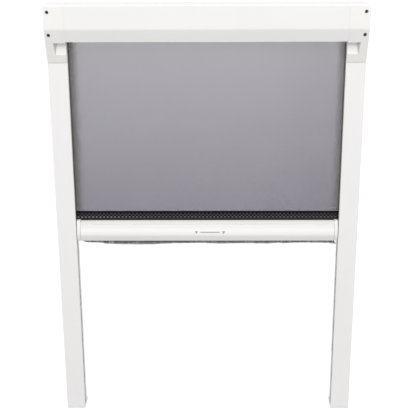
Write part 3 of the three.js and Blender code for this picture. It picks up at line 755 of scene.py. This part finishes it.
def column_pitch(x):
    """The threads stand closer at both side edges, and a little closer on the right."""
    left_edge = left_edge_tightening * eased(-x, selvedge_start, selvedge_end)
    right_edge = right_edge_tightening * eased(x, selvedge_start, selvedge_end)
    right = right_tightening * eased(x, right_start, right_end)
    return thread_pitch * (1 - max(left_edge, right_edge, right))


def net(thread):
    """Both ways of the net's threads, across the span from the roller to the bar."""
    low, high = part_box("net")
    middle = (low.y + high.y) / 2
    margin = thread_width / 2
    columns = thread_places(low.x + margin, high.x - margin, column_pitch)

    def row_pitch(z):
        """The level threads sit a little closer towards the hem and halfway up."""
        share = (z - low.z) / (high.z - low.z)
        sag = row_sag * share * (1 - share)
        return thread_pitch * (1 + row_tightening * (share - row_even_share) - sag)

    rows = thread_places(low.z + margin, high.z - margin, row_pitch)
    upright = repeated(
        "upright_threads", thread_template(sides=6),
        np.array([(x, middle, low.z) for x in columns]),
        rows_of((thread_width, 0, 0), len(columns)),
        rows_of((0, upright_depth, 0), len(columns)),
        rows_of((0, 0, high.z - low.z), len(columns)))
    level = repeated(
        "level_threads", thread_template(sides=4, turn=math.pi / 4),
        np.array([(low.x, middle, z) for z in rows]),
        rows_of((0, 0, thread_width), len(rows)),
        rows_of((0, level_depth, 0), len(rows)),
        rows_of((high.x - low.x, 0, 0), len(rows)))
    # Laying the upright template level mirrors it, so its faces are turned outwards again
    activate(level)
    bpy.ops.object.mode_set(mode="EDIT")
    bpy.ops.mesh.select_all(action="SELECT")
    bpy.ops.mesh.flip_normals()
    bpy.ops.object.mode_set(mode="OBJECT")
    cloth = joined("woven_net", [upright, level])
    bpy.ops.object.shade_smooth_by_angle(angle=65 * degree)
    cloth.data.materials.clear()
    cloth.data.materials.append(thread)
    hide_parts("net")
    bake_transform(cloth)
    return cloth


def hem_tape(tape, stitch):
    """The black tape over the bar, pulled in along its two seams, and its stitches."""
    low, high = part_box("hem_band")
    band = clean_box("hem_tape", low, high)
    rounded_edges(band, tape_edge, lambda middle, way: abs(way.x) > follows_axis, segments=3)
    bpy.ops.object.mode_set(mode="EDIT")
    for seam in (stitch_lower, stitch_upper):
        for height in (seam - channel_half, seam, seam + channel_half):
            bpy.ops.mesh.select_all(action="SELECT")
            bpy.ops.mesh.bisect(plane_co=(0, 0, height), plane_no=(0, 0, 1))
    shape = bmesh.from_edit_mesh(band.data)
    for corner in shape.verts:
        if any(abs(corner.co.z - seam) < same_place for seam in (stitch_lower, stitch_upper)):
            corner.co.y += channel_depth if corner.co.y < (low.y + high.y) / 2 else -channel_depth
    bmesh.update_edit_mesh(band.data)
    bpy.ops.object.mode_set(mode="OBJECT")
    dressed(smoothed(band, angle=50), tape, "bar", "hem_tape", "hem_band")

    face = low.y
    rise = stitch_upper - stitch_lower
    starts = low.x + stitch_pitch * (np.arange((high.x - low.x) // stitch_pitch) + 0.5)
    half_width = stitch_radius * stitch_width_share
    slants = []
    for lean in (-1, 1):
        feet = [x for x in starts if abs(x + lean * rise) < high.x - tape_edge]
        count = len(feet)
        slants.append(repeated(
            f"slanted_stitches_{lean}", thread_template(sides=6),
            np.array([(x, face, stitch_lower) for x in feet]),
            rows_of((half_width, 0, -lean * half_width), count),
            rows_of((0, stitch_radius * stitch_depth_share, 0), count),
            rows_of((lean * rise, 0, rise), count)))
    bpy.ops.mesh.primitive_uv_sphere_add(segments=8, ring_count=5, radius=1)
    dash = settled(added("dash"))
    count = len(starts)
    wobble = chance.uniform(-stitch_wobble, stitch_wobble, count)
    dashes = repeated(
        "seam_dashes", dash,
        np.array([(x, face, stitch_lower + lift) for x, lift in zip(starts, wobble)]),
        rows_of((dash_length / 2, 0, 0), count),
        rows_of((0, dash_radius * dash_depth_share, 0), count),
        rows_of((0, 0, dash_radius), count))
    stitches = joined("hem_stitches", [*slants, dashes])
    bpy.ops.object.shade_smooth_by_angle(angle=70 * degree)
    dressed(stitches, stitch, "bar", "hem_tape")
    return band, stitches


def guide_brush(side, place, grey):
    """A full pile strip in one lip of a guide; at the foot it fans out of the slot."""
    node = f"{side}_guide_{place}_brush"
    low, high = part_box(node)
    inward = 1 if side == "left" else -1
    towards_net = 1 if place == "front" else -1
    root_y = low.y if place == "front" else high.y
    tip_y = high.y if place == "front" else low.y
    middle_x = (low.x + high.x) / 2
    half = (high.x - low.x) / 2
    backing = clean_box("backing", (low.x, min(root_y, root_y + towards_net * backing_depth), low.z),
                        (high.x, max(root_y, root_y + towards_net * backing_depth), high.z))
    z = np.sort(chance.uniform(low.z + pile_end_clear, high.z - pile_end_clear, guide_fibres))
    row = inward * (1 - 2 * chance.random(guide_fibres) ** 2)
    reach = chance.uniform(guide_shortest_share, 1, guide_fibres)
    root_depth = np.full(guide_fibres, root_y + towards_net * backing_depth / 2)
    roots = np.column_stack([middle_x + row * half * guide_root_share, root_depth, z])

    fan = np.clip((low.z + fan_height - z) / fan_height, 0, 1)
    loose = np.clip((pile_change_top - z) / (pile_change_top - pile_change_foot), 0, 1)
    peep = peep_above + (peep_below[side] - peep_above) * loose
    peep = np.where(z < parked_height, peep_parked, peep)
    tips = roots.copy()
    tips[:, 0] = middle_x + row * half * guide_tip_share + chance.normal(0, guide_scatter, guide_fibres)
    tips[:, 0] += inward * np.maximum(peep, fan_reach * fan)
    tips[:, 1] += (tip_y - root_depth) * reach
    tips[:, 2] += chance.normal(0, guide_scatter_along, guide_fibres) - fan_drop * fan
    tips[:, 2] = np.clip(tips[:, 2], low.z, high.z)
    strands = fibres(f"{node}_strands", roots, tips, fibre_radius)
    piece = joined(f"{node}_pile", [strands, backing])
    dressed(piece, grey, "frame", "grey_pile", node)


def bar_pile_length(x):
    """How far the pile hangs below the bar, along the bar, as it was combed by use."""
    knots = np.array([
        (-170, 1.4), (-162, 3.4), (-142, 4.3), (-136, 5.9), (-118, 6.7), (-90, 7), (-72, 6.7),
        (-50, 5.4), (-10, 4.7), (15, 5.8), (32, 5.3), (60, 5.4), (82, 5.6), (95, 4.6), (104, 5.4),
        (118, 4.4), (140, 4.3), (156, 4.5), (164, 5.6), (170, 6.8)]) * mm
    return np.interp(x, knots[:, 0], knots[:, 1])


def bar_brush(grey):
    """The uneven pile under the bar, swept outwards at its right end."""
    low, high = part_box("bar_brush")
    bar_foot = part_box("bottom_bar")[0].z
    middle_y = (low.y + high.y) / 2
    half = (high.y - low.y) / 2
    strip_foot = high.z - backing_depth
    backing = clean_box("backing", (low.x, low.y, strip_foot), high)
    x = np.sort(chance.uniform(low.x + pile_end_clear, high.x - pile_end_clear, bar_fibres))
    row = chance.uniform(-1, 1, bar_fibres)
    root_height = np.full(bar_fibres, strip_foot + bar_root_rise)
    roots = np.column_stack([x, middle_y + row * half * bar_root_share, root_height])
    swept = np.clip((x - sweep_start) / (high.x - sweep_start), 0, 1)
    combed = comb_wave * np.sin(x * comb_turn_per_metre) + sweep_reach * swept
    tips = roots.copy()
    tips[:, 0] += chance.normal(0, bar_scatter, bar_fibres) + combed
    tips[:, 1] = middle_y + row * half * bar_tip_share
    tips[:, 2] = bar_foot - bar_pile_length(x) * chance.uniform(bar_shortest_share, 1, bar_fibres)
    strands = fibres("bar_brush_strands", roots, tips, fibre_radius)
    piece = joined("bar_brush_pile", [strands, backing])
    dressed(piece, grey, "bar", "grey_pile", "bar_brush")


def cassette_brush(grey):
    """The pile strip that the net passes at the cassette's outlet."""
    low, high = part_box("cassette_brush")
    backing = clean_box("backing", low, (high.x, low.y + backing_depth, high.z))
    middle_z = (low.z + high.z) / 2
    half = (high.z - low.z) / 2
    x = np.sort(chance.uniform(low.x + pile_end_clear, high.x - pile_end_clear, cassette_fibres))
    row = chance.uniform(-1, 1, cassette_fibres)
    root_depth = np.full(cassette_fibres, low.y + backing_depth / 2)
    roots = np.column_stack([x, root_depth, middle_z + row * half * cassette_root_share])
    tips = roots.copy()
    tips[:, 0] += chance.normal(0, cassette_scatter, cassette_fibres)
    tips[:, 1] = high.y - chance.uniform(0, cassette_shortening, cassette_fibres)
    tips[:, 2] = middle_z + row * half * cassette_tip_share
    strands = fibres("cassette_brush_strands", roots, tips, fibre_radius)
    piece = joined("cassette_brush_pile", [strands, backing])
    dressed(piece, grey, "frame", "grey_pile", "cassette_brush")


def wound_net(thread):
    """The stretch of net that is still on the tube, as a spiral."""
    low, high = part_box("net_roll")
    centre = (low + high) / 2
    outer = (high.z - low.z) / 2 - roll_clear
    inner = (high.z - low.z) / 2 - roll_turns * roll_layer
    steps = roll_turns * roll_steps_per_turn
    bpy.ops.mesh.primitive_grid_add(x_subdivisions=1, y_subdivisions=steps, size=1)
    piece = settled(added("wound_net"))
    for corner in piece.data.vertices:
        share = corner.co.y + 0.5
        angle = share * roll_turns * 2 * math.pi
        radius = inner + share * (outer - inner)
        arm = Vector((0, math.cos(angle), math.sin(angle)))
        sideways = Vector((corner.co.x * (high.x - low.x), 0, 0))
        corner.co = centre + sideways + arm * radius
    modified(piece, "SOLIDIFY", thickness=roll_skin, offset=0)
    activate(piece)
    bpy.ops.object.shade_smooth_by_angle(angle=40 * degree)
    dressed(piece, thread, "roller", "net_thread", "net_roll")
    return piece


def bar_marks(bar, ink):
    """Two small arrowheads and a plain line, printed on the bar's face."""
    flats = []
    for x in (mark_middle - mark_spread, mark_middle + mark_spread):
        bpy.ops.mesh.primitive_circle_add(
            vertices=3, radius=mark_size, fill_type="NGON", location=(x, mark_start, mark_height),
            rotation=(math.pi / 2, math.pi, 0))
        flats.append(settled(added("arrowhead")))
    bpy.ops.mesh.primitive_plane_add(
        size=1, location=(mark_middle, mark_start, mark_height), rotation=(math.pi / 2, 0, 0))
    line = added("line")
    line.scale = (line_length, line_width, 1)
    flats.append(settled(line))
    marks = joined("bar_marks", flats)
    modified(marks, "SHRINKWRAP", target=bar, wrap_method="PROJECT", use_project_y=True,
             use_negative_direction=True, use_positive_direction=True, offset=ink_thickness / 2)
    modified(marks, "SOLIDIFY", thickness=ink_thickness, offset=0)
    dressed(marks, ink, "bar", None)


def dress_nodes(material, *names):
    """Gives CAD nodes that stay as they are their finish."""
    for name in names:
        for slot in cad[name].material_slots:
            slot.material = material


place_camera()
light_the_stage()
lay_the_floor()

coat = powder_coat("powder_coat")
plastic = moulded_white()
thread = coated_thread()
black = black_moulding()
steel = drawn_metal("zinc_plated_steel", low=(0.5, 0.51, 0.53), high=(0.68, 0.69, 0.7),
                    stretch=(1, 1, 1), rough=0.28, grain_scale=500)
aluminium = drawn_metal("mill_aluminium", low=(0.62, 0.63, 0.64), high=(0.76, 0.77, 0.78),
                        stretch=(0.05, 1, 1), rough=0.3, grain_scale=900)
side_pile = guide_pile()

cassette_housing(coat)
bar = bottom_bar(powder_coat("bar_coat", bar_painted_light))
for side in ("left", "right"):
    end_cap(side, plastic)
    guide(side, coat)
    foot_cap(side, plastic)
    bar_shoe(side, plastic)
    for place in ("front", "rear"):
        guide_brush(side, place, side_pile)
cassette_brush(side_pile)
bar_brush(bar_pile())
hem, hem_stitches = hem_tape(woven_tape(), stitch_thread())
roll = wound_net(thread)
cloth = net(thread)
bar_marks(bar, grey_ink())

dress_nodes(steel, "left_cap_screw_upper", "right_cap_screw_upper", "left_cap_screw_lower",
            "right_cap_screw_lower", "left_shoe_screw", "right_shoe_screw", "spindle", "torsion_spring",
            "idle_pin")
dress_nodes(aluminium, "roller_tube")
dress_nodes(black, "left_foot_catch", "right_foot_catch", "spindle_holder", "spring_anchor",
            "idle_bearing", "left_tube_plug", "right_tube_plug", "tube_spline", "bar_spline")

bpy.context.scene.view_settings.view_transform = "Standard"
